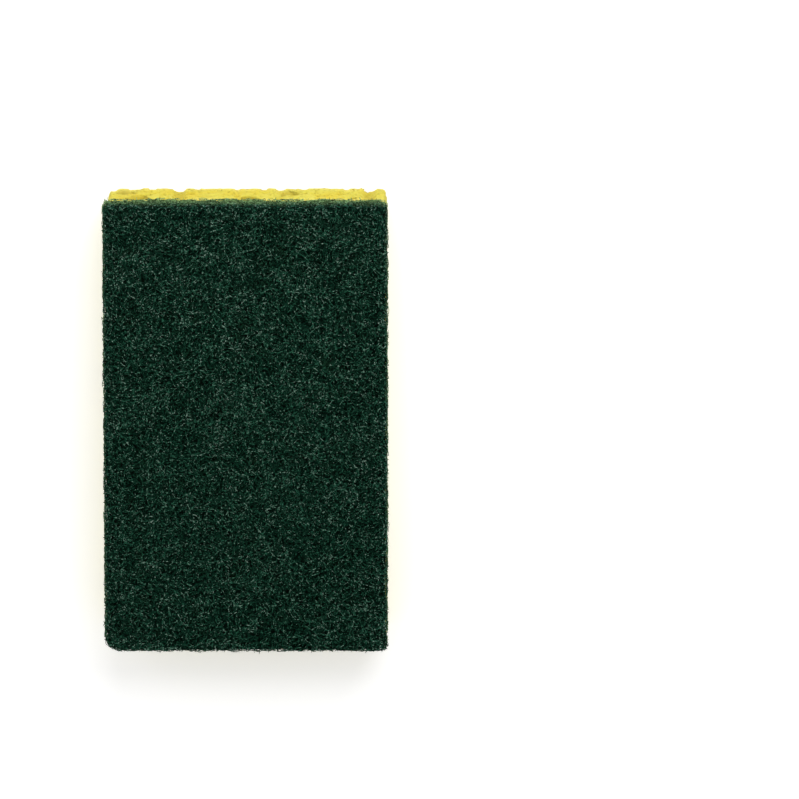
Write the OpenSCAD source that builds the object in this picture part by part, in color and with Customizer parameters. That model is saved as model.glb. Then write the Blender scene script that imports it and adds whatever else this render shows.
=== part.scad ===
// Scrub sponge: a cellulose block with a nonwoven scouring pad glued flat on it.
// The sponge lies on its cellulose side. X runs across it, Y along it and Z up,
// and the origin is in the face that it lies on, under the middle of the pad.

/* [Outline] */
// Length of the sponge
sponge_l = 111; // [92:0.5:134]
// Width of the sponge
sponge_w = 68; // [56:0.5:82]
// Radius of three of the corners, seen from above
corner_r = 1.4; // [1:0.1:3]
// Radius of the fourth corner, which is rounded off more
soft_corner_r = 3.6; // [2:0.1:6]

/* [Cellulose block] */
// Thickness of the block
block_t = 12.5; // [9:0.5:16]
// How far the block's sides stand back from the pad's
block_inset = 0.5; // [0.3:0.1:1]
// How far the block was glued to one side, as a share of that distance
block_shift = 0.8; // [-1:0.1:1]
// Depth of the deepest waves that the saw left across one end
wave_depth = 0.9; // [0.5:0.1:1.2]
// Width of the widest wave
wave_w = 9; // [7:0.5:11]

/* [Pores] */
// Distance from one pore to the next
pore_gap = 6; // [5:0.1:8]
// Radius of the smallest pores
pore_r_min = 0.5; // [0.4:0.05:0.8]
// Radius of the largest pores
pore_r_max = 2.3; // [1.6:0.1:3]
// How far a pore strays from its even place, as a share of the gap
pore_stray = 0.85; // [0.5:0.05:0.95]
// How deep a pore's centre may sit, as a share of its radius
pore_sink = 0.5; // [0.3:0.05:0.7]
// Number that picks the pattern of pores, of those that leave the block whole
pore_seed = 7; // [6, 7, 19]

/* [Scouring pad] */
// Thickness of the pad
pad_t = 7.5; // [5:0.5:11]
// Radius of the pad's upper edges
rim_r = 0.7; // [0.4:0.1:1]
// Depth of the hollows in the matted face
nap_depth = 0.55; // [0.3:0.05:0.9]
// Depth of the hollows in the cut sides
cut_depth = 0.4; // [0.2:0.05:0.6]
// Distance from one tuft of the matting to the next
tuft_gap = 2; // [1.8:0.1:3]
// Number that picks the pattern of tufts
tuft_seed = 3; // [1:1:99]

/* [Hidden] */
$fn = 32;

block_w = sponge_w - 2 * block_inset;
block_l = sponge_l - 2 * block_inset;

// Most pores are small: the share of each size falls with this power
pore_skew = 4;

// A pore from this share of the largest radius up broke into two lesser ones
// beside it. Their radius and their distance are shares of its own, and the
// angle between them varies.
lobe_from = 0.6;
lobe_r = 0.7;
lobe_out = 0.8;
lobe_angle = [70, 180];

// Waves across the far end: place from side to side as a share of the half
// width, then width and depth as shares of wave_w and wave_depth
end_waves = [
    [-0.875, 1, 0.45],
    [-0.485, 0.36, 1],
    [-0.07, 0.18, 0.45],
    [0.24, 0.3, 0.65],
    [0.71, 0.2, 0.45],
    [0.88, 0.36, 1]
];

// How far a shape that cuts reaches past what it cuts
past = 1;

// Tufts across and along the pad, and rows of tufts up its cut sides
tufts_x = round(sponge_w / tuft_gap);
tufts_y = round(sponge_l / tuft_gap);
side_rows = max(2, round((pad_t - rim_r) / tuft_gap));
ring_n = 2 * (tufts_x + tufts_y);

// Radius of the corner in the quadrant of x and y
function corner_at(x, y) = x < 0 && y < 0 ? soft_corner_r : corner_r;

// Plate with four rounded corners, w by l, as a flat shape
module corner_plate(w, l) {
    difference() {
        square([w, l], center = true);
        for (x = [-1, 1], y = [-1, 1])
            let (r = corner_at(x, y))
                translate([x * w / 2, y * l / 2])
                    difference() {
                        square(2 * r, center = true);
                        translate([-x * r, -y * r]) circle(r);
                    }
    }
}

// One pore, with its lobes turned by two chance numbers
module pore(r, turn, spread) {
    sphere(r);
    if (r > lobe_from * pore_r_max)
        for (side = [0, 1])
            rotate(360 * turn + side * (lobe_angle[0] + spread * lobe_angle[1]))
                translate([lobe_out * r, 0, 0]) sphere(lobe_r * r);
}

// Pores of one face, a by b, which lies at z = 0 with the cellulose above it
module pores(a, b, seed) {
    na = max(1, round(a / pore_gap));
    nb = max(1, round(b / pore_gap));
    dice = rands(0, 1, 4 * na * nb, seed);
    for (i = [0 : na - 1], j = [0 : nb - 1])
        let (k = 4 * (i * nb + j),
             r = pore_r_min + (pore_r_max - pore_r_min) * pow(dice[k], pore_skew),
             x = (i + 0.5 + pore_stray * (dice[k + 1] - 0.5)) * a / na - a / 2,
             y = (j + 0.5 + pore_stray * (dice[k + 2] - 0.5)) * b / nb - b / 2)
            translate([x, y, pore_sink * r * dice[k + 3]])
                pore(r, dice[k + 1], dice[k + 2]);
}

// Pores of the wipe face and of the four sides
module all_pores() {
    pores(block_w, block_l, pore_seed);
    for (s = [-1, 1]) {
        translate([s * block_w / 2, 0, block_t / 2])
            rotate([90, 0, -90 * s]) pores(block_l, block_t, pore_seed + 2 + s);
        translate([0, s * block_l / 2, block_t / 2])
            rotate([90, 0, 90 - 90 * s]) pores(block_w, block_t, pore_seed + 6 + s);
    }
}

// Shallow upright hollow of a wave: a cylinder whose side cuts in by depth
module wave_cut(x, width, depth) {
    r = (width * width / 4 + depth * depth) / (2 * depth);
    translate([x, block_l / 2 + r - depth, -past])
        cylinder(r = r, h = block_t + 2 * past, $fn = 96);
}

// Cellulose block, cut square, with its pores laid open on every cut face
module sponge_block() {
    color([0.88, 0.83, 0.3])
        translate([block_shift * block_inset, 0, 0])
            difference() {
                linear_extrude(block_t) corner_plate(block_w, block_l);
                for (w = end_waves)
                    wave_cut(w[0] * block_w / 2, w[1] * wave_w, w[2] * wave_depth);
                all_pores();
            }
}

// Where a point lands when the square corners of a w by l plate are pulled in
// to round ones. A point off the corners stays where it is.
function rounded(x, y, w, l, inset) =
    let (r = max(corner_at(x, y) - inset, 0.05),
         u = (abs(x) - w / 2 + r) / r,
         v = (abs(y) - l / 2 + r) / r)
    u <= 0 || v <= 0 ? [x, y] :
    [sign(x) * (w / 2 - r + r * u * sqrt(1 - v * v / 2)),
     sign(y) * (l / 2 - r + r * v * sqrt(1 - u * u / 2))];

// Point of the pad's plan at tuft i across and j along, drawn in by inset
function plan(i, j, inset) =
    let (w = sponge_w - 2 * inset, l = sponge_l - 2 * inset)
    rounded((i / tufts_x - 0.5) * w, (j / tufts_y - 0.5) * l, w, l, inset);

// Tuft at step k of the ring that runs round the plan
function ring(k) =
    k < tufts_x ? [k, 0] :
    k < tufts_x + tufts_y ? [tufts_x, k - tufts_x] :
    k < 2 * tufts_x + tufts_y ? [2 * tufts_x + tufts_y - k, tufts_y] :
    [0, ring_n - k];

// Hollows of the matting: chance heights, of which the upper half is cut off
// level, so that the pad keeps its full size between its hollows
nap_dice = rands(0, 1, (tufts_x + 1) * (tufts_y + 1), tuft_seed);
cut_dice = rands(0, 1, ring_n * (side_rows + 1), tuft_seed + 1);
function hollow(chance, depth) = depth * max(0, 1 - 2 * chance);
function nap(i, j) = hollow(nap_dice[j * (tufts_x + 1) + i], nap_depth);
function cut(k, row) = hollow(cut_dice[row * ring_n + k], cut_depth);

// Two triangles of the quad a, b, c, d, cut along one diagonal or the other
function halves(a, b, c, d, odd) =
    odd ? [[a, b, d], [b, c, d]] : [[a, b, c], [a, c, d]];

// Scouring pad: rings of points up its cut sides, an edge ring on the round of
// the rim, and a grid of points over the matted face
module scour_pad() {
    foot = block_t;
    top = block_t + pad_t;
    slope = rim_r * (1 - sqrt(0.5));
    sides = [
        for (row = [0 : side_rows], k = [0 : ring_n - 1])
            let (p = plan(ring(k)[0], ring(k)[1], cut(k, row)))
                [p[0], p[1], foot + row * (pad_t - rim_r) / side_rows]
    ];
    rim = [
        for (k = [0 : ring_n - 1])
            let (p = plan(ring(k)[0], ring(k)[1], slope + cut(k, side_rows) / 2))
                [p[0], p[1], top - slope]
    ];
    face = [
        for (j = [0 : tufts_y], i = [0 : tufts_x])
            let (p = plan(i, j, rim_r)) [p[0], p[1], top - nap(i, j)]
    ];
    rings = side_rows + 2;
    face_0 = rings * ring_n;
    middle = face_0 + len(face);
    // Number of the point at step k of ring row, where the last ring is the
    // outer line of the face's own grid
    function at(row, k) =
        let (m = k % ring_n)
        row < rings ? row * ring_n + m :
        face_0 + ring(m)[1] * (tufts_x + 1) + ring(m)[0];
    walls = [
        for (row = [0 : rings - 1], k = [0 : ring_n - 1])
            each halves(at(row, k), at(row + 1, k), at(row + 1, k + 1),
                        at(row, k + 1), (row + k) % 2 == 1)
    ];
    matting = [
        for (j = [0 : tufts_y - 1], i = [0 : tufts_x - 1])
            let (a = face_0 + j * (tufts_x + 1) + i, b = a + tufts_x + 1)
            each halves(a, b, b + 1, a + 1, (i + j) % 2 == 1)
    ];
    glued = [for (k = [0 : ring_n - 1]) [middle, at(0, k), at(0, k + 1)]];
    color([0.06, 0.2, 0.14])
        polyhedron(
            points = concat(sides, rim, face, [[0, 0, foot]]),
            faces = concat(walls, matting, glued)
        );
}

sponge_block();
scour_pad();
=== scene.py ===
"""Finishes a scrub sponge: a cellulose block with a scouring pad glued flat on it.

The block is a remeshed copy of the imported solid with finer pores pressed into
it. The pad is a rough core under a web of loose fibres, each a thin bent tube.
"""

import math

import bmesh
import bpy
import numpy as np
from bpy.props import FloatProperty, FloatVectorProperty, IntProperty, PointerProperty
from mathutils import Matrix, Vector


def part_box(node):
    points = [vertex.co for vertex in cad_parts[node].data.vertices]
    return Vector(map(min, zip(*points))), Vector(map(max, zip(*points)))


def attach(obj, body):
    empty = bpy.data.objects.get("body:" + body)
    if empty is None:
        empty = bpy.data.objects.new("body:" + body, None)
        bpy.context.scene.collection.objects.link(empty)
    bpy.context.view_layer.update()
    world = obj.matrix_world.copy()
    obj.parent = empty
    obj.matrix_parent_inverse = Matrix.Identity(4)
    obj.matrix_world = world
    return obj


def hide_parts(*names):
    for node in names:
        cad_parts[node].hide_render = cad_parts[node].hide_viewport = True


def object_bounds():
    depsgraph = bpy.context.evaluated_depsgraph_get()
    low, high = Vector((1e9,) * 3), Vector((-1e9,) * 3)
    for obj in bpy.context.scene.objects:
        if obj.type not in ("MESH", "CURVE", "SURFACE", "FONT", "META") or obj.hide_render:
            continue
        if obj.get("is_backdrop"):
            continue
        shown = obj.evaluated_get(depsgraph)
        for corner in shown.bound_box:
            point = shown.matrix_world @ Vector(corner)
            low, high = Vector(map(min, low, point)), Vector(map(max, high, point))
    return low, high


bl_info = {
    "name": "Scrub Sponge",
    "version": (1, 0, 0),
    "blender": (4, 5, 0),
    "location": "3D View > Sidebar > Sponge",
    "description": "Makes the cellulose, the fibre web and the stage of a scrub sponge",
    "category": "Object",
}

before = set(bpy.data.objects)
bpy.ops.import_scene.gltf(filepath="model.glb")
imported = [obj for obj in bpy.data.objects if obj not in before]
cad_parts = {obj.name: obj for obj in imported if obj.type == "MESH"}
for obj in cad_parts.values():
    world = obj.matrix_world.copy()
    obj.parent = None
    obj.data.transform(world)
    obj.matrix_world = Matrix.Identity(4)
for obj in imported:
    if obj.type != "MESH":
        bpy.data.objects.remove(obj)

MM = 0.001
BODY = "root"
CAD_LOW, CAD_HIGH = (np.array(corner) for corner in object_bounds())
PAD_LOW, PAD_HIGH = (np.array(corner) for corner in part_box("scour_pad"))
BLOCK_LOW, BLOCK_HIGH = (np.array(corner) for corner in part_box("sponge_block"))


class CelluloseSettings(bpy.types.PropertyGroup):
    """Sizes and colours of the cellulose block."""

    grain: FloatProperty(
        name="Mesh Grain", description="Distance between points of the skin that is shaped",
        default=0.27 * MM, min=0.25 * MM, max=1 * MM, unit="LENGTH", precision=5)
    triangles: IntProperty(
        name="Triangles", description="Number of triangles left after the skin is thinned out",
        default=180000, min=20000, max=195000)
    cell: FloatProperty(
        name="Cell", description="Distance between the pores pressed into the skin",
        default=1.75 * MM, min=1 * MM, max=4 * MM, unit="LENGTH", precision=5)
    depth: FloatProperty(
        name="Pore Depth", description="Depth of the deepest of these pores",
        default=0.95 * MM, min=0.1 * MM, max=1.5 * MM, unit="LENGTH", precision=5)
    seed: IntProperty(
        name="Seed", description="Number that picks the pattern of pores",
        default=5, min=0, max=999)
    colour: FloatVectorProperty(
        name="Cellulose", description="Colour of the open cellulose",
        default=(0.67, 0.60, 0.087), size=3, min=0, max=1, subtype="COLOR")
    warm: FloatVectorProperty(
        name="Warm Patches", description="Colour of the patches that took more dye",
        default=(0.70, 0.54, 0.043), size=3, min=0, max=1, subtype="COLOR")
    # Colour of the painted shade deep in the pores
    hollow: FloatVectorProperty(
        name="Hollows", description="Colour deep in the pores",
        default=(0.27, 0.17, 0.007), size=3, min=0, max=1, subtype="COLOR")
    pale: FloatVectorProperty(
        name="Pale Edges", description="Colour of the frayed cut edges",
        default=(0.80, 0.74, 0.22), size=3, min=0, max=1, subtype="COLOR")


class WebSettings(bpy.types.PropertyGroup):
    """Sizes and colours of the fibre web of the scouring pad."""

    radius: FloatProperty(
        name="Fibre Radius", description="Radius of a fibre with its coat of resin",
        default=0.08 * MM, min=0.03 * MM, max=0.2 * MM, unit="LENGTH", precision=6)
    length: FloatProperty(
        name="Fibre Length", description="Length of the stretch of a fibre that shows",
        default=6.5 * MM, min=2 * MM, max=15 * MM, unit="LENGTH", precision=5)
    face_fibres: IntProperty(
        name="Fibres on the Face", description="Number of fibres in the face's top layer",
        default=3000, min=100, max=3900)
    side_fibres: IntProperty(
        name="Fibres on the Sides", description="Number of fibres round the cut sides",
        default=2600, min=100, max=3900)
    face_ends: IntProperty(
        name="Ends on the Face", description="Number of fibre ends that stand up from the face",
        default=6000, min=100, max=10000)
    side_ends: IntProperty(
        name="Ends on the Sides", description="Number of fibre ends that stand out of the sides",
        default=3000, min=100, max=10000)
    beads: IntProperty(
        name="Beads", description="Number of beads of resin where fibres cross",
        default=12000, min=100, max=20000)
    seed: IntProperty(
        name="Seed", description="Number that picks the lie of the fibres",
        default=11, min=0, max=999)
    # Darkest stop: the darkest grains, and the painted shade of the web's depths on the core
    dark_grain_and_shade: FloatVectorProperty(
        name="Deep Fibres", description="Colour of the fibres and resin down in the web",
        default=(0.0003, 0.0018, 0.0011), size=3, min=0, max=1, subtype="COLOR")
    colour: FloatVectorProperty(
        name="Fibres", description="Colour of most fibres",
        default=(0.0070, 0.0440, 0.0255), size=3, min=0, max=1, subtype="COLOR")
    lit: FloatVectorProperty(
        name="Bright Fibres", description="Colour of the brighter grains on the fibres",
        default=(0.0340, 0.1420, 0.0860), size=3, min=0, max=1, subtype="COLOR")
    # Pale stop: pale grit, and painted glints that stand in for the fibres' highlights
    pale_grit_and_glint: FloatVectorProperty(
        name="Pale Fibres", description="Colour of the few grains whose resin is thin",
        default=(0.28, 0.40, 0.33), size=3, min=0, max=1, subtype="COLOR")
    # Light olive of the painted light on the pad's sides towards the glued face
    painted_side_light: FloatVectorProperty(
        name="Stained Fibres", description="Colour of the fibres that touch the cellulose",
        default=(0.29, 0.48, 0.19), size=3, min=0, max=1, subtype="COLOR")


class StageSettings(bpy.types.PropertyGroup):
    """Camera and light."""

    tilt: FloatProperty(
        name="Tilt", description="How far the camera leans towards the sponge's far end",
        default=math.radians(15.3), min=0, max=math.radians(60), subtype="ANGLE")
    distance: FloatProperty(
        name="Distance", description="Distance from the camera to the sponge",
        default=3, min=0.5, max=10, unit="LENGTH")
    key: FloatProperty(
        name="Key Lamp", description="Power of the lamp beyond the far end",
        default=1.95, min=0, max=500, unit="POWER")
    fill: FloatProperty(
        name="Fill Lamp", description="Power of the lamp on the left",
        default=1.6, min=0, max=500, unit="POWER")
    sky: FloatProperty(
        name="Sky", description="Strength of the even light from all round",
        default=0.62, min=0, max=2)


# Noise and pores in space


def hashed(cell, channel):
    """Chance numbers from 0 to 1 for whole cell coordinates.

    Each coordinate and the channel are multiplied by large primes and combined
    bit by bit, then mixed by shifts and products.
    """
    mixed = (cell[..., 0] * 73856093 ^ cell[..., 1] * 19349663
             ^ cell[..., 2] * 83492791 ^ channel * 2654435761)
    mixed = (mixed ^ (mixed >> 13)) * 1274126177 & 0x7FFFFFFF
    mixed = (mixed ^ (mixed >> 16)) * 69069 & 0x7FFFFFFF
    return mixed / 0x7FFFFFFF


def smooth_noise(points, size, channel):
    """Noise from -1 to 1 that changes over the given size, in the pattern of a channel.

    The chance values at the eight corners of the cell round a point are blended
    with weights that ease from 0 to 1 as 3t^2 - 2t^3.
    """
    scaled = points / size
    base = np.floor(scaled).astype(np.int64)
    t = scaled - base
    t = t * t * (3 - 2 * t)
    total = np.zeros(len(points))
    for corner in np.ndindex(2, 2, 2):
        corner = np.array(corner)
        weight = np.prod(np.where(corner, t, 1 - t), axis=1)
        total += weight * hashed(base + corner, channel)
    return 2 * total - 1


def pore_field(points, cell, largest, channel):
    """How deep each point lies in a ball-shaped pore, as a share of the largest radius.

    Space is split in cubic cells with one pore each. The pore's centre strays
    from the middle of its cell, and its radius is a chance share of the largest.
    A point's depth in a pore of radius r at distance d is (r^2 - d^2)^(1/2), or 0
    outside it, and the deepest pore of the 27 cells round the point counts.
    """
    base = np.floor(points / cell).astype(np.int64)
    deepest = np.zeros(len(points))
    for step in np.ndindex(3, 3, 3):
        at = base + np.array(step) - 1
        stray = np.stack([hashed(at, channel + axis) for axis in range(3)], axis=1)
        centre = (at + 0.15 + 0.7 * stray) * cell
        chance = hashed(at, channel + 3)
        radius = largest * (0.3 + 0.7 * chance ** 3)
        squared = ((points - centre) ** 2).sum(axis=1) / radius ** 2
        depth = np.sqrt(np.clip(1 - squared, 0, 1)) * radius / largest
        deepest = np.maximum(deepest, depth)
    return deepest


# The pad's outline and the mapping of its skin


def plate_distance(points, low, high, radii):
    """Signed distance to the outline of a plate with round corners, and its slope.

    Points inside count as negative. radii holds the corner radius of the
    quadrants (-X -Y), (+X -Y), (-X +Y) and (+X +Y).
    """
    middle = (low[:2] + high[:2]) / 2
    half = (high[:2] - low[:2]) / 2
    away = points[..., :2] - middle
    side = np.where(away < 0, -1.0, 1.0)
    quadrant = (away[..., 0] >= 0) + 2 * (away[..., 1] >= 0)
    radius = np.asarray(radii)[quadrant]
    over = np.abs(away) - (half - radius[..., None])
    outer = np.maximum(over, 0)
    reach = np.sqrt((outer ** 2).sum(axis=-1))
    distance = reach + np.minimum(over.max(axis=-1), 0) - radius
    axis = np.stack([over[..., 0] >= over[..., 1], over[..., 0] < over[..., 1]], axis=-1)
    slope = np.where(reach[..., None] > 0, outer / np.maximum(reach, 1e-12)[..., None], axis)
    return distance, slope * side


def outline_point(s, low, high, radii):
    """Point and outward normal of the plate's outline at the length s along it.

    The outline runs anticlockwise from the middle of the -Y side and back to it:
    nine stretches, straight and round in turn, each of its own length.
    """
    middle = (low[:2] + high[:2]) / 2
    half = (high[:2] - low[:2]) / 2
    quadrants = (1, 3, 2, 0)
    signs = ((1, -1), (1, 1), (-1, 1), (-1, -1))
    arcs = [radii[q] * math.pi / 2 for q in quadrants]
    width, depth = 2 * half
    straights = [
        width / 2 - radii[1], depth - radii[1] - radii[3], width - radii[3] - radii[2],
        depth - radii[2] - radii[0], width / 2 - radii[0],
    ]
    ends = np.cumsum([
        straights[0], arcs[0], straights[1], arcs[1], straights[2], arcs[2],
        straights[3], arcs[3], straights[4],
    ])
    s = np.mod(s, ends[-1])
    stretch = np.searchsorted(ends, s, side="right")
    starts = np.concatenate([[0], ends[:-1]])
    along = s - starts[np.minimum(stretch, 8)]
    point = np.zeros(s.shape + (2,))
    normal = np.zeros(s.shape + (2,))
    headings = ((1, 0), (0, 1), (-1, 0), (0, -1), (1, 0))
    origins = (
        (0, -half[1]), (half[0], -half[1] + radii[1]), (half[0] - radii[3], half[1]),
        (-half[0], half[1] - radii[2]), (-half[0] + radii[0], -half[1]),
    )
    for k in range(5):
        here = stretch == 2 * k
        heading = np.array(headings[k], float)
        point[here] = np.array(origins[k]) + along[here, None] * heading
        normal[here] = (heading[1], -heading[0])
    for k in range(4):
        here = stretch == 2 * k + 1
        r = radii[quadrants[k]]
        turn = along[here] / r + k * math.pi / 2 - math.pi / 2
        out = np.stack([np.cos(turn), np.sin(turn)], axis=-1)
        point[here] = np.array(signs[k]) * (half - r) + r * out
        normal[here] = out
    return point + middle, normal, ends[-1]


# Meshes


def mesh_from(name, points, triangles):
    """Smooth-shaded mesh of triangles from arrays of points and corner numbers."""
    mesh = bpy.data.meshes.new(name)
    mesh.vertices.add(len(points))
    mesh.vertices.foreach_set("co", np.asarray(points, np.float32).ravel())
    mesh.loops.add(triangles.size)
    mesh.loops.foreach_set("vertex_index", np.asarray(triangles, np.int32).ravel())
    mesh.polygons.add(len(triangles))
    mesh.polygons.foreach_set("loop_start", np.arange(0, triangles.size, 3, dtype=np.int32))
    mesh.polygons.foreach_set("use_smooth", np.ones(len(triangles), bool))
    mesh.update(calc_edges=True)
    return mesh


def mark(mesh, name, values):
    """Stores one number for each point of the mesh, for its material to read."""
    layer = mesh.attributes.new(name, "FLOAT", "POINT")
    layer.data.foreach_set("value", np.asarray(values, np.float32))


def reshape(mesh, places):
    """Moves a mesh's points to the given places, and shades it smooth."""
    mesh.vertices.foreach_set("co", places.astype(np.float32).ravel())
    mesh.polygons.foreach_set("use_smooth", np.ones(len(mesh.polygons), bool))
    mesh.update()


def add_object(name, data):
    """Object of a mesh, lamp or camera, placed in the scene."""
    made = bpy.data.objects.new(name, data)
    bpy.context.scene.collection.objects.link(made)
    return made


def add_piece(name, mesh, finish, node):
    """Object of a finished mesh that rides on the body and stands for a node."""
    piece = add_object(name, mesh)
    mesh.materials.clear()
    mesh.materials.append(finish)
    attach(piece, BODY)
    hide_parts(node)
    return piece


def merged_copy(node, name):
    """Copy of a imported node's mesh, whose loose triangles are merged at their points."""
    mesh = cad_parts[node].data.copy()
    mesh.name = name
    work = bmesh.new()
    work.from_mesh(mesh)
    bmesh.ops.remove_doubles(work, verts=work.verts, dist=1e-7)
    work.to_mesh(mesh)
    work.free()
    return mesh


def points_of(mesh):
    """Places and normals of a mesh's points, as arrays."""
    count = len(mesh.vertices)
    places, normals = np.zeros(3 * count), np.zeros(3 * count)
    mesh.vertices.foreach_get("co", places)
    mesh.vertices.foreach_get("normal", normals)
    return places.reshape(-1, 3), normals.reshape(-1, 3)


def applied(piece):
    """Mesh of the piece with its modifiers applied, on a piece left without them."""
    done = bpy.data.meshes.new_from_object(
        piece.evaluated_get(bpy.context.evaluated_depsgraph_get()))
    old = piece.data
    piece.modifiers.clear()
    piece.data = done
    bpy.data.meshes.remove(old)
    return done


def drop_crumbs(mesh):
    """Deletes every shell of the mesh but the one with the most points.

    Every point starts with its own number. Both ends of each edge take the lower
    of their two numbers, and then each number gives way to that of the point it
    names, until nothing changes and each shell has one number.
    """
    ends = np.zeros(2 * len(mesh.edges), int)
    mesh.edges.foreach_get("vertices", ends)
    first, second = ends.reshape(-1, 2).T
    shell, before = np.arange(len(mesh.vertices)), None
    while not np.array_equal(shell, before):
        before = shell.copy()
        lower = np.minimum(shell[first], shell[second])
        np.minimum.at(shell, first, lower)
        np.minimum.at(shell, second, lower)
        shell = shell[shell]
    work = bmesh.new()
    work.from_mesh(mesh)
    work.verts.ensure_lookup_table()
    crumbs = np.flatnonzero(shell != np.bincount(shell).argmax())
    bmesh.ops.delete(work, geom=[work.verts[point] for point in crumbs], context="VERTS")
    work.to_mesh(mesh)
    work.free()


def tubes(paths, radii):
    """Points and triangles of thin tubes, three-sided and closed at both ends.

    paths holds one row of points for each tube. Round each point lie three
    corners at the tube's radius, in the plane across its direction, at angles
    of 0, 120 and 240 degrees from a side direction that the whole tube shares.
    """
    count, rings = paths.shape[:2]
    ahead = np.gradient(paths, axis=1)
    ahead /= np.linalg.norm(ahead, axis=2, keepdims=True) + 1e-12
    up = np.zeros_like(ahead)
    up[..., 2] = 1
    up[np.abs(ahead[..., 2]) > 0.9] = (1, 0, 0)
    side = np.cross(ahead, up)
    side /= np.linalg.norm(side, axis=2, keepdims=True)
    over = np.cross(side, ahead)
    angles = np.arange(3) * 2 * math.pi / 3
    around = (np.cos(angles)[:, None] * side[:, :, None]
              + np.sin(angles)[:, None] * over[:, :, None])
    points = paths[:, :, None] + around * radii[:, :, None, None]
    first = np.arange(count)[:, None, None] * rings * 3
    ring = np.arange(rings - 1)[None, :, None] * 3
    corner = np.arange(3)[None, None, :]
    following = (corner + 1) % 3
    a, b = first + ring + corner, first + ring + following
    walls = np.stack([a, a + 3, b, b, a + 3, b + 3], axis=-1).reshape(-1, 3)
    start = np.arange(count)[:, None] * rings * 3
    end = start + (rings - 1) * 3
    caps = np.concatenate([start + (0, 1, 2), end + (0, 2, 1)])
    return points.reshape(-1, 3), np.concatenate([walls, caps])


# Finishes


class Wire:
    """Output of a shader node. Arithmetic with wires and numbers adds Math nodes."""

    def __init__(self, finish, socket):
        self.finish, self.socket = finish, socket

    def math(self, operation, first, second):
        return self.finish.node("ShaderNodeMath", {"operation": operation}, {0: first, 1: second})

    def __add__(self, other):
        return self.math("ADD", self, other)

    def __sub__(self, other):
        return self.math("SUBTRACT", self, other)

    def __rsub__(self, other):
        return self.math("SUBTRACT", other, self)

    def __mul__(self, other):
        return self.math("MULTIPLY", self, other)

    def __pow__(self, other):
        return self.math("POWER", self, other)


class Finish:
    """Material under construction, with one method for every node but Math."""

    def __init__(self, name):
        self.material = bpy.data.materials.new(name)
        self.material.use_nodes = True
        self.tree = self.material.node_tree
        self.shader = self.tree.nodes["Principled BSDF"]
        self.place = self.node("ShaderNodeTexCoord", out="Object")

    def node(self, kind, settings=(), sockets=(), out=0):
        """Adds a node with its settings and its sockets' values or wires."""
        made = self.tree.nodes.new(kind)
        for name, value in dict(settings).items():
            if name == "stops":
                self.set_stops(made.color_ramp, value)
            else:
                setattr(made, name, value)
        for name, value in dict(sockets).items():
            self.feed(made.inputs[name], value)
        return Wire(self, made.outputs[out])

    def set_stops(self, ramp, stops):
        """Gives a ramp its stops, each a position and a colour."""
        while len(ramp.elements) < len(stops):
            ramp.elements.new(1)
        for element, (position, colour) in zip(ramp.elements, stops):
            element.position = position
            element.color = (*colour, 1)

    def feed(self, socket, value):
        """Links a wire to a socket, or sets the socket's own value."""
        if isinstance(value, Wire):
            self.tree.links.new(value.socket, socket)
        elif getattr(socket, "type", "") == "RGBA":
            socket.default_value = (*value, 1)
        else:
            socket.default_value = value

    def noise(self, size, detail=2.0, roughness=0.5):
        """Noise from 0 to 1 whose patches are about as wide as size."""
        return self.node("ShaderNodeTexNoise", {}, {
            "Vector": self.place, "Scale": 1 / size, "Detail": detail, "Roughness": roughness})

    def strewn(self, size, place, out):
        """Reading of the nearest of the points strewn through space about size apart."""
        return self.node("ShaderNodeTexVoronoi", {}, {"Vector": place, "Scale": 1 / size}, out=out)

    def grains(self, size, place=None):
        """Chance number from 0 to 1 for each cell of space, about as wide as size."""
        grain = self.strewn(size, place or self.place, "Color")
        return self.node("ShaderNodeSeparateColor", {}, {"Color": grain}, out="Red")

    def pores(self, size):
        """Depth in the uneven pores of a foam whose cells are size apart, from 0 to 1.

        At distance d from a cell's centre it is 1 - (d / r)^2, or 0 further out
        than the pore's radius r, a chance share of the cell. The point asked for
        is first moved by noise, by up to half a cell.
        """
        stray = self.node("ShaderNodeTexNoise", {}, {
            "Vector": self.place, "Scale": 1 / size, "Detail": 1.0}, out="Color")
        place = self.node("ShaderNodeVectorMath", {"operation": "MULTIPLY_ADD"}, {
            0: stray, 1: (size, size, size), 2: self.place})
        radius = self.grains(size, place) * 0.42 + 0.05
        reach = self.strewn(size, place, "Distance") * radius ** -1
        return self.node("ShaderNodeMath", {"operation": "MAXIMUM"}, {0: 1 - reach ** 2, 1: 0.0})

    def height(self):
        """Height above the wipe face, in metres."""
        return self.node("ShaderNodeSeparateXYZ", {}, {"Vector": self.place}, out="Z")

    def stored(self, name):
        """Number stored for each point of the mesh."""
        return self.node("ShaderNodeAttribute", {"attribute_name": name}, out="Fac")

    def mixed(self, share, first, second):
        """Colour between two colours, by a share from 0 to 1."""
        made = self.tree.nodes.new("ShaderNodeMix")
        made.data_type = "RGBA"
        made.clamp_factor = True
        self.feed(made.inputs[0], share)
        self.feed(made.inputs[6], first)
        self.feed(made.inputs[7], second)
        return Wire(self, made.outputs[2])

    def eased(self, value, low, high):
        """Value mapped so that low gives 0 and high gives 1, with soft ends."""
        return self.node("ShaderNodeMapRange", {"interpolation_type": "SMOOTHSTEP"}, {
            "Value": value, "From Min": low, "From Max": high})

    def bumps(self, *layers):
        """Normal of the surface under layers of bumps, each a height wire and a depth."""
        normal = None
        for height, depth in layers:
            sockets = {"Height": height, "Distance": depth, "Strength": 1.0}
            if normal:
                sockets["Normal"] = normal
            normal = self.node("ShaderNodeBump", {}, sockets)
        return normal

    def set(self, **values):
        """Feeds the shader's sockets, named with _ for their spaces."""
        for name, value in values.items():
            self.feed(self.shader.inputs[name.replace("_", " ")], value)
        return self.material


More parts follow.
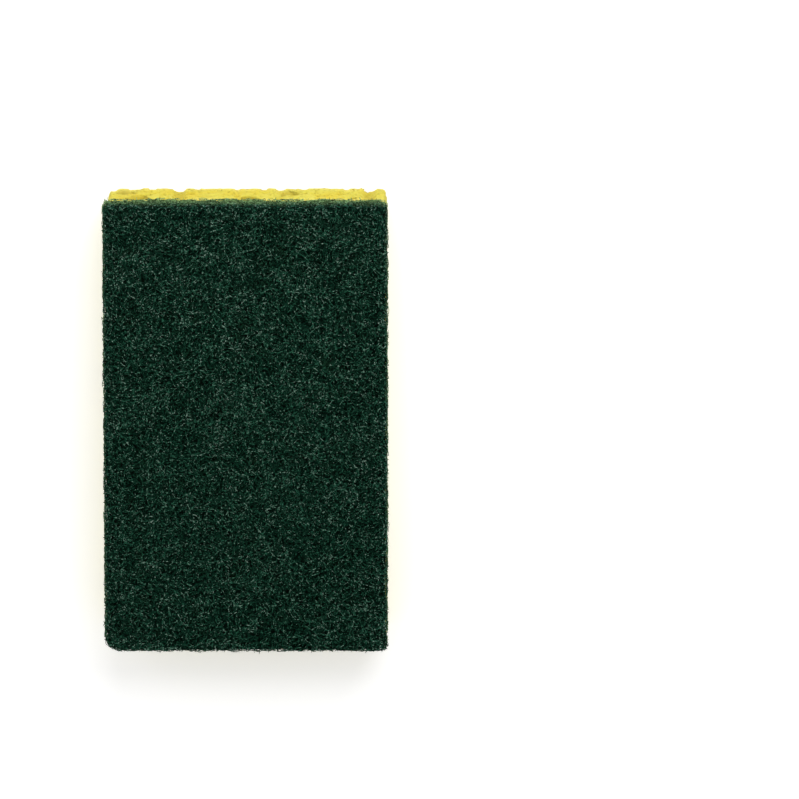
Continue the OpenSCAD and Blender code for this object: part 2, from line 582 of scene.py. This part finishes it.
def cellulose_finish(cellulose):
    """Matte dyed cellulose: uneven dye, pale edges, painted shade in the pores, a skin of tiny
    pores.
    """
    finish = Finish("cellulose")
    hollow = finish.stored("hollow")
    dye = finish.eased(finish.noise(9 * MM, 3.0), 0.42, 0.66)
    fleck = finish.eased(finish.noise(0.9 * MM, 3.0, 0.6), 0.45, 0.75)
    colour = finish.mixed(dye * 0.6, tuple(cellulose.colour), tuple(cellulose.warm))
    colour = finish.mixed(fleck * 0.35, colour, tuple(cellulose.warm))
    middle = (BLOCK_LOW[2] + BLOCK_HIGH[2]) / 2
    edge = finish.eased(
        finish.node("ShaderNodeMath", {"operation": "ABSOLUTE"}, {0: finish.height() - middle}),
        middle - 3.5 * MM, middle)
    colour = finish.mixed(edge * (1 - hollow) * 0.6, colour, tuple(cellulose.pale))
    pores = finish.pores(1.1 * MM)
    tiny = finish.pores(0.45 * MM)
    # Painted shade: the colour darkens deep in the pressed pores and in the bumped pores
    colour = finish.mixed(
        hollow * 0.75 + pores * 0.3 + tiny * 0.25, colour, tuple(cellulose.hollow))
    return finish.set(
        Base_Color=colour,
        Roughness=finish.noise(1.5 * MM) * 0.15 + 0.8,
        Specular_IOR_Level=0.15,
        Subsurface_Weight=0.12,
        Subsurface_Radius=(1.0, 0.7, 0.2),
        Subsurface_Scale=0.6 * MM,
        Normal=finish.bumps(
            (finish.noise(1.1 * MM, 3.0, 0.6), 0.2 * MM), (1 - pores, 0.16 * MM),
            (1 - tiny, 0.07 * MM)),
    )


# Width of a grain of grit on the fibres and their resin
GRIT = 0.32 * MM
# How far the painted light on the pad's sides reaches, a light olive tinted towards the cellulose's
# yellow: from nothing at the first height over the glued face to all of it at the second, which
# lies below that face
SIDE_LIGHT_ENDS, SIDE_LIGHT_FULL = 7.3 * MM, -1 * MM
SIDE_LIGHT = 1.7


def web_colour(finish, web, tone):
    """Green for a tone from 0 to 1, turning a light olive near the line where the pad is glued:
    painted light on the pad's sides.
    """
    green = finish.node("ShaderNodeValToRGB", {"stops": (
        (0.12, tuple(web.dark_grain_and_shade)), (0.5, tuple(web.colour)),
        (0.74, tuple(web.lit)), (0.92, tuple(web.pale_grit_and_glint)))}, {"Fac": tone})
    near = finish.eased(finish.height(), PAD_LOW[2] + SIDE_LIGHT_ENDS, PAD_LOW[2] + SIDE_LIGHT_FULL)
    # Painted light: the sides lighten to a light olive towards the glued face, the brighter grains
    # the more
    return finish.mixed(near * tone * SIDE_LIGHT, green, tuple(web.painted_side_light))


def fibre_finish(web):
    """Nylon fibres in dark green resin, grainy with abrasive, a few grains pale: pale grit and
    painted glints.
    """
    finish = Finish("web_fibres")
    lump = finish.noise(0.5 * MM, 2.0, 0.6)
    patch = finish.noise(5 * MM, 2.0)
    tone = (finish.stored("tone") * 0.12 + finish.grains(GRIT) * 0.88
            + (patch - 0.5) * 0.2 - 0.08)
    return finish.set(
        Base_Color=web_colour(finish, web, tone),
        Roughness=finish.noise(1 * MM) * 0.3 + 0.35,
        # The glints are painted into the pale grains, so the fibres' own specular stays low
        Specular_IOR_Level=0.02,
        Normal=finish.bumps((lump, 0.1 * MM)),
    )


def core_finish(web):
    """Packed resin and fibre deep in the web, nearly black as painted shade of the gaps between the
    fibres, lumpy and dull.
    """
    finish = Finish("web_core")
    lump = finish.noise(0.6 * MM, 4.0, 0.65)
    # Mostly low tones, so the core takes the near-black of the painted shade
    tone = finish.grains(GRIT) * 0.4 + (lump - 0.5) * 0.8
    return finish.set(
        Base_Color=web_colour(finish, web, tone),
        Roughness=0.9,
        Specular_IOR_Level=0.01,
        Normal=finish.bumps((lump, 0.5 * MM)),
    )


def floor_finish():
    """Plain matte near-white, which the camera and mirrors see a little whiter."""
    finish = Finish("floor")
    path = finish.tree.nodes.new("ShaderNodeLightPath")
    seen = [Wire(finish, path.outputs[ray]) for ray in (
        "Is Camera Ray", "Is Glossy Ray", "Is Transmission Ray")]
    return finish.set(
        Base_Color=(0.9, 0.9, 0.9),
        Roughness=0.9,
        Specular_IOR_Level=0.1,
        Emission_Color=finish.mixed(
            seen[0] + seen[1] + seen[2], (0.0, 0.0, 0.0), (1.0, 1.0, 1.0)),
        Emission_Strength=0.3,
    )


# Pieces

# Box of cellulose at the foot of a pore in the far end, where it met a pore below
WALL_LOW, WALL_HIGH = Vector((-30.7, 52.4, 0.05)) * MM, Vector((-28.0, 54.9, 1.1)) * MM


def close_foot(mesh):
    """Adds the box to the solid, as a wall between the two pores."""
    work = bmesh.new()
    work.from_mesh(mesh)
    bmesh.ops.create_cube(work, size=1, matrix=Matrix.LocRotScale(
        (WALL_LOW + WALL_HIGH) / 2, None, WALL_HIGH - WALL_LOW))
    work.to_mesh(mesh)
    work.free()


# How far the block's far left corner gives way, and how far from it that reaches
GIVE, GIVE_REACH = 0.75 * MM, 3.2 * MM


def corner_give(points):
    """Move of each point along the length, where the far left corner gives way.

    At the distances a and b from the two faces that meet in the corner it is
    -GIVE * (1 - a / GIVE_REACH) * (1 - b / GIVE_REACH), and 0 further out.
    """
    away = np.abs(points[:, :2] - (BLOCK_LOW[0], BLOCK_HIGH[1]))
    return -GIVE * np.clip(1 - away / GIVE_REACH, 0, 1).prod(axis=1)


# Largest radius of the finer pores as a share of their cell. A smaller kind has its
# cell and its largest radius as shares of the same cell, and another seed.
LARGEST = 0.6
SMALL_CELL, SMALL_LARGEST, SMALL_SEED = 0.55, 0.33, 20
# Noise of the size BEND_SIZE bends the pores by up to BEND
BEND, BEND_SIZE, BEND_CHANNELS = 0.2 * MM, 1.1 * MM, (51, 52, 53)
# Waves of the skin: size, channel of the noise and height of each layer
SKIN_WAVES = ((3 * MM, 7, 0.1 * MM), (0.9 * MM, 8, 0.12 * MM))
# How deep the whole skin is pressed in, and how far below the glued face, which
# stays flat, the rest begins
SUNK, FLAT_LINE = 0.1 * MM, 0.8 * MM


def press_pores(places, normals, cellulose):
    """Places of the block's points with the finer pores pressed in, and the painted shade of each.

    Painted pore shade runs from 0 on the skin to 1 deep in a pore: painted shade,
    for the colour. A point moves in along its normal by the depth of its pore, the
    waves and SUNK. On the cut skin, which is the part within 0.3 to 0.8 mm of the
    block's box that faces squarely out, the pores have their full depth. In a pore
    that the solid has already they have only a share of it.
    """
    free = np.clip((BLOCK_HIGH[2] - places[:, 2]) / FLAT_LINE, 0, 1)
    bend = [smooth_noise(places, BEND_SIZE, channel) for channel in BEND_CHANNELS]
    bent = places + np.stack(bend, axis=1) * BEND
    cell, seed = cellulose.cell, cellulose.seed
    pores = pore_field(bent, cell, LARGEST * cell, seed)
    small = pore_field(bent, SMALL_CELL * cell, SMALL_LARGEST * cell, seed + SMALL_SEED)
    waves = sum(smooth_noise(places, size, channel) * high for size, channel, high in SKIN_WAVES)
    square = np.clip((np.abs(normals).max(axis=1) - 0.6) / 0.2, 0, 1)
    inset = np.minimum(places - BLOCK_LOW, BLOCK_HIGH - places).min(axis=1)
    skin = np.clip(1.6 - inset / (0.5 * MM), 0, 1) * square
    dent = np.maximum((0.45 + 0.55 * skin) * pores, 0.45 * small)
    depth = free * (dent * cellulose.depth + waves) + SUNK
    below = np.clip(inset / (2 * MM), 0, 1)
    # Painted shade: darker deep in the pores, and on the walls inside the block away from the cut
    # skin
    hollow = free * np.clip(1.1 * dent ** 1.5 + (1 - skin) * (0.15 + 0.5 * below), 0, 1)
    pressed = places - normals * depth[:, None]
    pressed[:, 1] += corner_give(places)
    return pressed, hollow


class SPONGE_OT_block(bpy.types.Operator):
    """Cellulose block with its finer pores"""

    bl_idname = "sponge.block"
    bl_label = "Cellulose Block"

    def execute(self, context):
        cellulose = context.scene.sponge_cellulose
        finish = cellulose_finish(cellulose)
        mesh = merged_copy("sponge_block", "sponge_block_skin")
        close_foot(mesh)
        piece = add_piece("cellulose_block", mesh, finish, "sponge_block")
        remesh = piece.modifiers.new("grain", "REMESH")
        remesh.mode = "VOXEL"
        remesh.voxel_size = cellulose.grain
        remesh.adaptivity = 0
        smooth = piece.modifiers.new("smooth", "SMOOTH")
        smooth.iterations = 2
        mesh = applied(piece)
        places, hollow = press_pores(*points_of(mesh), cellulose)
        reshape(mesh, places)
        mark(mesh, "hollow", hollow)
        mesh.calc_loop_triangles()
        thin = piece.modifiers.new("thin", "DECIMATE")
        thin.ratio = min(1, cellulose.triangles / len(mesh.loop_triangles))
        mesh = applied(piece)
        drop_crumbs(mesh)
        mesh.materials.clear()
        mesh.materials.append(finish)
        return {"FINISHED"}


# How far the core lies inside the pad's solid, and by how much its lumps vary that
CORE_INSET, CORE_LUMPS, LUMP_SIZE = 0.45 * MM, 0.22 * MM, 0.9 * MM


class SPONGE_OT_core(bpy.types.Operator):
    """Rough core of the scouring pad, under its fibres"""

    bl_idname = "sponge.core"
    bl_label = "Pad Core"

    def execute(self, context):
        web = context.scene.sponge_web
        mesh = merged_copy("scour_pad", "scour_pad_core")
        piece = add_piece("pad_core", mesh, core_finish(web), "scour_pad")
        finer = piece.modifiers.new("finer", "SUBSURF")
        finer.subdivision_type = "SIMPLE"
        finer.levels = finer.render_levels = 1
        mesh = applied(piece)
        places, normals = points_of(mesh)
        above = np.clip((places[:, 2] - PAD_LOW[2]) / (1 * MM), 0, 1)
        lumps = smooth_noise(places, LUMP_SIZE, 31) * CORE_LUMPS
        inward = normals * (CORE_INSET + lumps)[:, None]
        # The glued face stays level
        inward[:, 2] *= above
        reshape(mesh, places - inward)
        return {"FINISHED"}


# Corner radii of the pad, one for each quadrant: the one at -X -Y is the soft one
PAD_RADII = np.array([3.6, 1.4, 1.4, 1.4]) * MM
# Points along a fibre, and along a short fibre end
FIBRE_RINGS, END_RINGS = 9, 3
# Height of a fibre's own waves, and of the relief that the face's fibres share
FACE_WAVE, RELIEF = 0.14 * MM, 0.16 * MM
RELIEF_SIZE = 2.4 * MM
# How deep the root of a short fibre end sits
ROOT = 0.45 * MM


def face_paths(web, chance, count, height):
    """Paths of fibres that lie on the matted face.

    Each starts anywhere on the face and heads anywhere. It turns evenly as it
    goes, with a chance kink at each point, and the path is the running sum of its
    steps. Its height waves as a sine, and sinks over the last 0.8 mm by the
    outline. What would pass a line near the outline is mirrored back from it.
    """
    length = web.length * (0.45 + chance.random((count, 1)) ** 1.5 * 1.1)
    step = length / (FIBRE_RINGS - 1)
    along = np.linspace(-0.5, 0.5, FIBRE_RINGS)[None, :]
    turn = chance.normal(0, 1.6, (count, 1))
    kinks = chance.normal(0, 0.28, (count, FIBRE_RINGS))
    heading = chance.random((count, 1)) * 2 * math.pi + turn * along + kinks
    steps = np.stack([np.cos(heading), np.sin(heading)], axis=-1) * step[..., None]
    flat = np.cumsum(steps, axis=1) - steps.mean(axis=1, keepdims=True) * FIBRE_RINGS / 2
    span = PAD_HIGH[:2] - PAD_LOW[:2]
    start = PAD_LOW[:2] + chance.random((count, 2)) * span
    flat = flat + start[:, None]
    beyond = chance.uniform(-0.4, 0.1, (count, 1)) * MM
    distance, slope = plate_distance(flat, PAD_LOW, PAD_HIGH, PAD_RADII)
    excess = 2 * np.maximum(distance - beyond, 0)
    flat = flat - slope * excess[..., None]
    near = np.clip(1 + (distance - excess) / (0.8 * MM), 0, 1)
    phase = chance.random((count, 1)) * 2 * math.pi
    ripple = np.sin(phase + along * chance.uniform(3, 9, (count, 1)))
    lift = height + chance.normal(0, 0.12 * MM, (count, 1)) + FACE_WAVE * ripple
    level = np.concatenate([flat.reshape(-1, 2), np.zeros((count * FIBRE_RINGS, 1))], axis=1)
    relief = smooth_noise(level, RELIEF_SIZE, 3).reshape(count, FIBRE_RINGS) * RELIEF
    high = PAD_HIGH[2] + lift + relief - near ** 2 * 0.55 * MM
    return np.concatenate([flat, high[..., None]], axis=-1)


# Radius of the pad's rim, the length of its quarter round, and the side below it
RIM = 0.7 * MM
QUARTER = RIM * math.pi / 2
DOWN = PAD_HIGH[2] - PAD_LOW[2] - RIM


def on_side(s, m, proud):
    """Point of a strip that is wrapped round the pad, and the outward direction there.

    s runs along the outline, and m from the face over the round rim and down the
    side. On the rim, m over the rim's radius is the angle by which the surface
    has turned. The point stands proud of the surface by the length given.
    """
    point, normal, _ = outline_point(s, PAD_LOW, PAD_HIGH, PAD_RADII)
    angle = np.clip(m / RIM, 0, math.pi / 2)
    out = -RIM + (RIM + proud) * np.sin(angle) + np.minimum(m, 0)
    high = PAD_HIGH[2] - RIM + (RIM + proud) * np.cos(angle) - np.maximum(m - QUARTER, 0)
    outward = np.concatenate([normal * np.sin(angle)[..., None], np.cos(angle)[..., None]], axis=-1)
    return np.concatenate([point + normal * out[..., None], high[..., None]], axis=-1), outward


def side_paths(web, chance, count):
    """Paths of fibres that lie against the cut sides and over the rim.

    A fibre is a bent line in the strip that on_side wraps round the pad. It is
    mirrored back from the pad's foot, and reaches 1.5 mm onto the face at most.
    """
    around = outline_point(np.zeros(1), PAD_LOW, PAD_HIGH, PAD_RADII)[2]
    length = web.length * (0.25 + 0.5 * chance.random((count, 1)))
    along = np.linspace(-0.5, 0.5, FIBRE_RINGS)[None, :]
    heading = (chance.normal(0, 0.8, (count, 1)) + chance.normal(0, 1.2, (count, 1)) * along
               + chance.normal(0, 0.4, (count, FIBRE_RINGS)))
    step = length / (FIBRE_RINGS - 1)
    s = chance.random((count, 1)) * around + np.cumsum(np.cos(heading) * step, axis=1)
    m = (chance.random((count, 1)) * (DOWN + QUARTER)
         + np.cumsum(np.sin(heading) * step, axis=1))
    lowest = QUARTER + DOWN - web.radius * chance.uniform(0.5, 2, (count, 1))
    m = np.maximum(lowest - np.abs(lowest - m), -1.5 * MM)
    phase = chance.random((count, 1)) * 2 * math.pi
    proud = (chance.normal(-0.15, 0.14, (count, 1))
             + 0.12 * np.sin(phase + along * chance.uniform(3, 9, (count, 1)))) * MM
    return on_side(s, m, proud)[0]


def end_paths(start, outward, chance):
    """Paths of short fibre ends that stand out of the skin, leaning and bent by chance."""
    count = len(start)
    reach = (0.55 + 0.45 * chance.random((count, 1)) ** 3) * MM
    lean = chance.normal(0, 0.5, (count, 3))
    bend = chance.normal(0, 0.3, (count, 3))
    along = np.linspace(0, 1, END_RINGS)[None, :, None]
    way = outward[:, None] + lean[:, None] + bend[:, None] * along
    way /= np.linalg.norm(way, axis=2, keepdims=True)
    return (start - ROOT * outward)[:, None] + way * along * reach[:, None]


def web_finish(web):
    """Finish that all the fibres and beads share."""
    return bpy.data.materials.get("web_fibres") or fibre_finish(web)


def add_fibres(name, web, paths, chance, bright):
    """Piece of fibres along the given paths, lumpy with resin, with a tone for each."""
    count, rings = paths.shape[:2]
    thick = web.radius * chance.uniform(0.7, 1.25, (count, 1))
    lumps = chance.uniform(0.85, 1.25, (count, rings))
    taper = 1 - 0.3 * np.linspace(-1, 1, rings)[None, :] ** 8
    points, triangles = tubes(paths, thick * lumps * taper)
    mesh = mesh_from(name, points, triangles)
    # The tone is scaled by the brightness given, which is lower for the deeper face layers as
    # painted shade
    mark(mesh, "tone", np.repeat(bright * chance.random(count), rings * 3))
    return add_piece(name, mesh, web_finish(web), "scour_pad")


# Corners of an eight-sided bead, and its faces
BEAD = np.array([(1, 0, 0), (-1, 0, 0), (0, 1, 0), (0, -1, 0), (0, 0, 1), (0, 0, -1)])
BEAD_FACES = np.array([(0, 2, 4), (2, 1, 4), (1, 3, 4), (3, 0, 4),
                       (2, 0, 5), (1, 2, 5), (3, 1, 5), (0, 3, 5)])


def add_beads(name, web, paths, chance):
    """Beads of resin on points of the fibres: eight-sided, each stretched its own way."""
    count = web.beads
    points = paths.reshape(-1, 3)
    centres = points[chance.integers(0, len(points), count)]
    size = chance.uniform(1.4, 2.6, (count, 1, 1)) * chance.uniform(0.6, 1, (count, 1, 3))
    turn = chance.random(count) * 2 * math.pi
    cos, sin = np.cos(turn)[:, None], np.sin(turn)[:, None]
    bead = BEAD[None] * size * web.radius
    bead = np.stack([cos * bead[..., 0] - sin * bead[..., 1],
                     sin * bead[..., 0] + cos * bead[..., 1], bead[..., 2]], axis=-1)
    mesh = mesh_from(
        name, (centres[:, None] + bead).reshape(-1, 3),
        (np.arange(count)[:, None, None] * len(BEAD) + BEAD_FACES).reshape(-1, 3))
    # A share of the beads reach the pale stop: pale grit and painted glints
    mark(mesh, "tone", np.repeat(4 * chance.random(count) ** 4, len(BEAD)))
    return add_piece(name, mesh, web_finish(web), "scour_pad")


# Layers of the face: name, height over the face, brightness and share of the fibres. The lower
# brightness of the deeper layers is painted shade.
FACE_LAYERS = (
    ("web_under", -0.6 * MM, 0.6, 0.8),
    ("web_middle", -0.3 * MM, 0.85, 0.9),
    ("web_upper", -0.1 * MM, 1.0, 1.0),
)


class SPONGE_OT_face(bpy.types.Operator):
    """Three layers of fibres matted on the pad's face, with loose ends and beads of resin"""

    bl_idname = "sponge.face"
    bl_label = "Face Fibres"

    def execute(self, context):
        web = context.scene.sponge_web
        chance = np.random.default_rng(web.seed)
        for name, height, bright, share in FACE_LAYERS:
            paths = face_paths(web, chance, round(web.face_fibres * share), height)
            add_fibres(name, web, paths, chance, bright)
        add_beads("web_beads", web, paths, chance)
        points = paths.reshape(-1, 3)
        start = points[chance.integers(0, len(points), web.face_ends)]
        ends = end_paths(start, np.tile((0.0, 0.0, 1.0), (len(start), 1)), chance)
        add_fibres("web_face_ends", web, ends, chance, 1.0)
        return {"FINISHED"}


class SPONGE_OT_sides(bpy.types.Operator):
    """Fibres laid bare on the cut sides of the pad"""

    bl_idname = "sponge.sides"
    bl_label = "Side Fibres"

    def execute(self, context):
        web = context.scene.sponge_web
        chance = np.random.default_rng(web.seed + 1)
        paths = side_paths(web, chance, web.side_fibres)
        add_fibres("web_sides", web, paths, chance, 0.9)
        around = outline_point(np.zeros(1), PAD_LOW, PAD_HIGH, PAD_RADII)[2]
        count = web.side_ends
        start, outward = on_side(
            chance.random(count) * around, chance.random(count) * (QUARTER + DOWN), 0)
        ends = end_paths(start, outward, chance)
        add_fibres("web_side_ends", web, ends, chance, 0.9)
        return {"FINISHED"}


# Stage

PICTURE = 799
SENSOR = 36
PIXELS_PER_MM = 4.14
# Where the middle of the wipe face shows, in pixels of the picture
ORIGIN_AT = (246.5, 408.3)
# Place and width of each lamp
KEY_AT, KEY_WIDTH = (0.09, 0.38, 0.4), 0.4
FILL_AT, FILL_WIDTH = (-0.65, 0.35, 0.85), 0.7
# Radius and sides of the floor disc, and how far it lies below the wipe face
FLOOR_RADIUS, FLOOR_SIDES, FLOOR_GAP = 3, 96, 0.05 * MM


def add_camera(stage):
    """Long-lens camera over the sponge, leaning to its far end, with +Y up in the picture."""
    data = bpy.data.cameras.new("camera")
    data.sensor_width = SENSOR
    data.lens = PIXELS_PER_MM / MM * stage.distance / PICTURE * SENSOR
    data.clip_start, data.clip_end = 0.1, 20
    camera = add_object("camera", data)
    bpy.context.scene.camera = camera
    back = Vector((0, math.sin(stage.tilt), math.cos(stage.tilt)))
    up = Vector((0, math.cos(stage.tilt), -math.sin(stage.tilt)))
    right = up.cross(back)
    across = (PICTURE / 2 - ORIGIN_AT[0]) / PIXELS_PER_MM * MM
    above = (ORIGIN_AT[1] - PICTURE / 2) / PIXELS_PER_MM * MM
    camera.location = back * stage.distance + right * across + up * above
    camera.rotation_euler = (-stage.tilt, 0, 0)


def add_lamp(name, place, size, power):
    """Square soft lamp of the given width, which faces the sponge."""
    data = bpy.data.lights.new(name, "AREA")
    data.size = size
    data.energy = power
    lamp = add_object(name, data)
    lamp.location = place
    lamp.rotation_euler = Vector(place).to_track_quat("Z", "Y").to_euler()


def add_floor():
    """Plain floor disc, a hair below the wipe face."""
    turns = np.linspace(0, 2 * math.pi, FLOOR_SIDES, endpoint=False)
    rim = FLOOR_RADIUS * np.stack([np.cos(turns), np.sin(turns), 0 * turns], axis=1)
    points = np.concatenate([[[0, 0, 0]], rim]) + (0, 0, CAD_LOW[2] - FLOOR_GAP)
    around = np.arange(FLOOR_SIDES)
    triangles = np.stack([0 * around, around + 1, (around + 1) % FLOOR_SIDES + 1], axis=1)
    mesh = mesh_from("floor", points, triangles)
    mesh.materials.append(floor_finish())
    floor = add_object("floor", mesh)
    floor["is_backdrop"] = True


def light_sky(strength):
    """Even white light from all round, and plain white where the camera sees the sky."""
    world = bpy.data.worlds.new("sky")
    bpy.context.scene.world = world
    world.use_nodes = True
    nodes, links = world.node_tree.nodes, world.node_tree.links
    path = nodes.new("ShaderNodeLightPath")
    lit = nodes["Background"]
    lit.inputs["Color"].default_value = (1, 1, 1, 1)
    lit.inputs["Strength"].default_value = strength
    seen = nodes.new("ShaderNodeBackground")
    seen.inputs["Color"].default_value = (1, 1, 1, 1)
    mix = nodes.new("ShaderNodeMixShader")
    links.new(path.outputs["Is Camera Ray"], mix.inputs[0])
    links.new(lit.outputs[0], mix.inputs[1])
    links.new(seen.outputs[0], mix.inputs[2])
    links.new(mix.outputs[0], nodes["World Output"].inputs["Surface"])


class SPONGE_OT_stage(bpy.types.Operator):
    """Floor, lamps, sky and camera"""

    bl_idname = "sponge.stage"
    bl_label = "Stage"

    def execute(self, context):
        stage = context.scene.sponge_stage
        context.scene.view_settings.view_transform = "Standard"
        add_floor()
        light_sky(stage.sky)
        add_lamp("key", KEY_AT, KEY_WIDTH, stage.key)
        add_lamp("fill", FILL_AT, FILL_WIDTH, stage.fill)
        add_camera(stage)
        return {"FINISHED"}


class VIEW3D_PT_sponge(bpy.types.Panel):
    """Lists the sponge's settings and makes its pieces"""

    bl_label = "Scrub Sponge"
    bl_space_type = "VIEW_3D"
    bl_region_type = "UI"
    bl_category = "Sponge"

    def draw(self, context):
        groups = (
            (context.scene.sponge_cellulose, (SPONGE_OT_block,)),
            (context.scene.sponge_web, (SPONGE_OT_core, SPONGE_OT_face, SPONGE_OT_sides)),
            (context.scene.sponge_stage, (SPONGE_OT_stage,)),
        )
        for settings, operators in groups:
            box = self.layout.box()
            for name in settings.__annotations__:
                box.prop(settings, name)
            for operator in operators:
                box.operator(operator.bl_idname)


OPERATORS = (SPONGE_OT_block, SPONGE_OT_core, SPONGE_OT_face, SPONGE_OT_sides, SPONGE_OT_stage)
SETTINGS = {
    "sponge_cellulose": CelluloseSettings,
    "sponge_web": WebSettings,
    "sponge_stage": StageSettings,
}


def register():
    for kind in (*SETTINGS.values(), *OPERATORS, VIEW3D_PT_sponge):
        bpy.utils.register_class(kind)
    for name, kind in SETTINGS.items():
        setattr(bpy.types.Scene, name, PointerProperty(type=kind))


def unregister():
    for name in SETTINGS:
        delattr(bpy.types.Scene, name)
    for kind in (VIEW3D_PT_sponge, *reversed(OPERATORS), *reversed(SETTINGS.values())):
        bpy.utils.unregister_class(kind)


def main():
    """Makes every piece and the stage."""
    register()
    bpy.ops.sponge.block()
    bpy.ops.sponge.core()
    bpy.ops.sponge.face()
    bpy.ops.sponge.sides()
    bpy.ops.sponge.stage()


if __name__ == "__main__":
    main()
